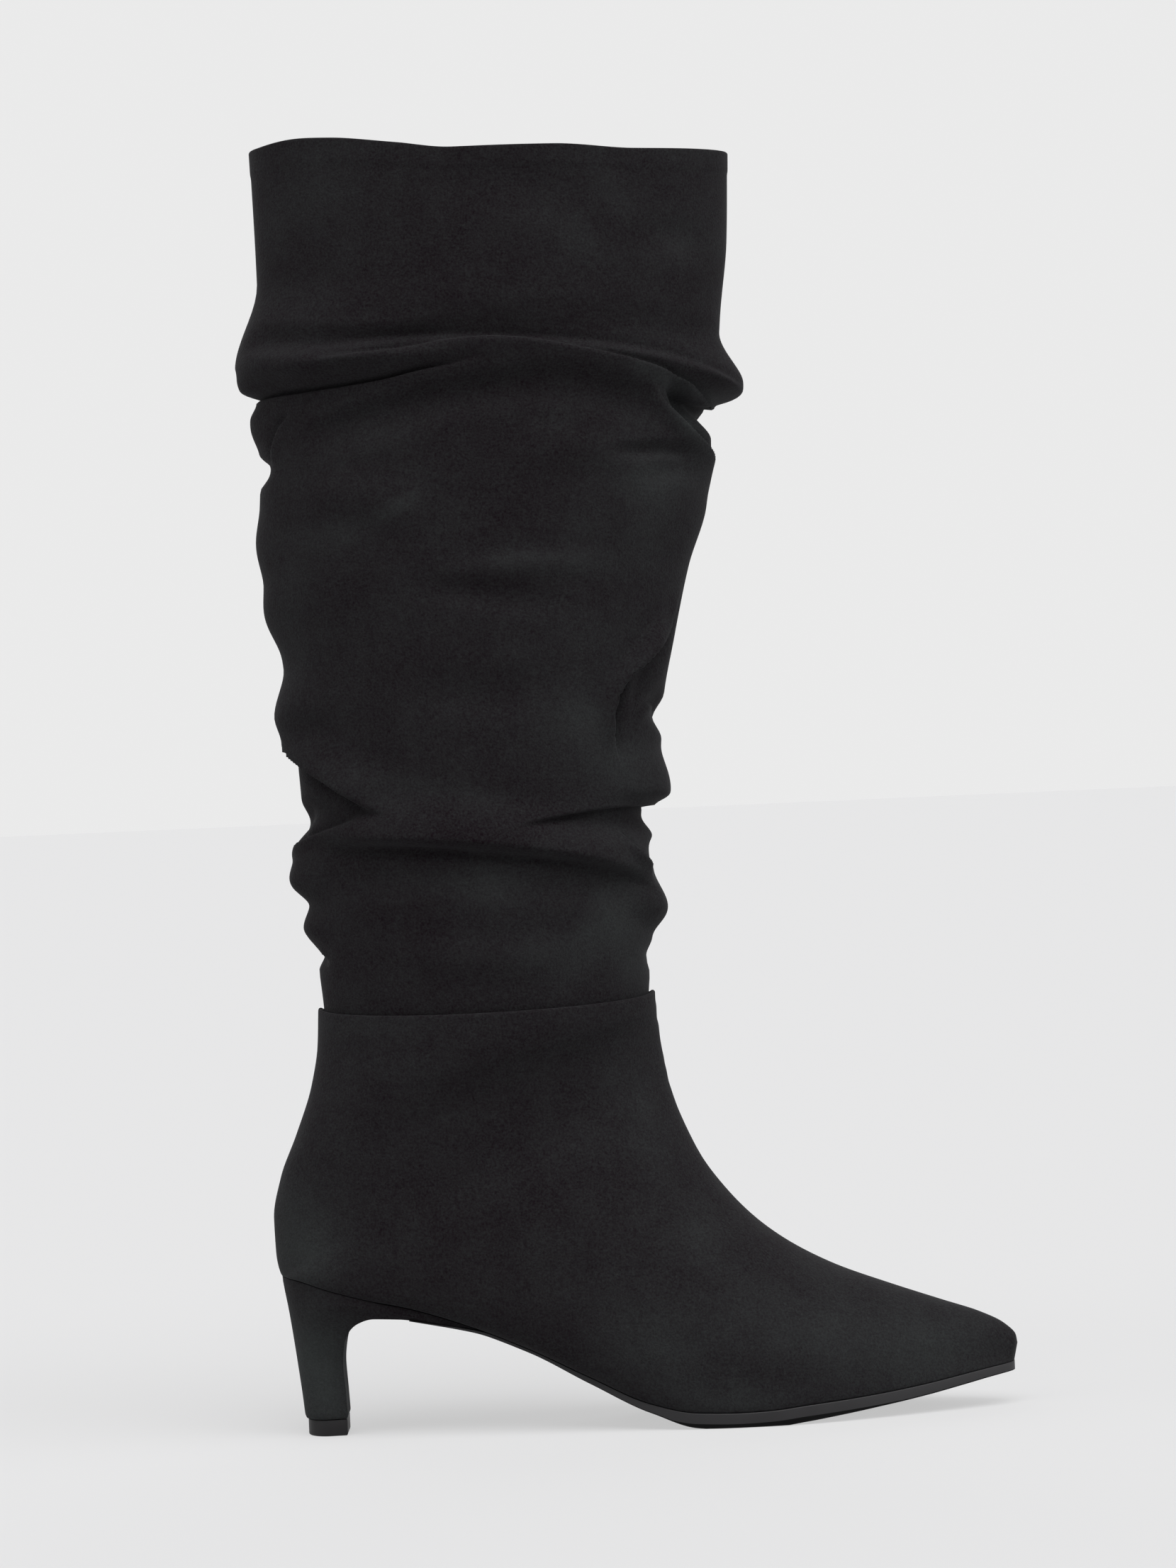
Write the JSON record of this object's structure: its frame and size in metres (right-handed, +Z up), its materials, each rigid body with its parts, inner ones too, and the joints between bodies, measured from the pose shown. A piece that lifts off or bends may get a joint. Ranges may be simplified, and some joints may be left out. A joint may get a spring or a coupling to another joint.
{
  "type": "slouch boot",
  "caption": "Right-foot knee boot in black suede with a slouched, folded leg, a fitted pointed foot, a thin sole and a slim covered heel.",
  "frame": {"origin": "centre of the heel tip's underside, on the floor", "axes": "+X towards the toe, +Y towards the inner side of the right foot, +Z up"},
  "size_m": [0.2515, 0.1061, 0.439],
  "materials": {
    "suede": "matt black suede nap",
    "lining": "smooth black lining",
    "sole_rubber": "satin black sole",
    "lift_rubber": "satin black rubber"
  },
  "bodies": {
    "root": {"upper": "suede", "shaft": "suede", "heel": "suede", "insole": "lining", "outsole": "sole_rubber", "top_lift": "lift_rubber"}
  },
  "joints": []
}
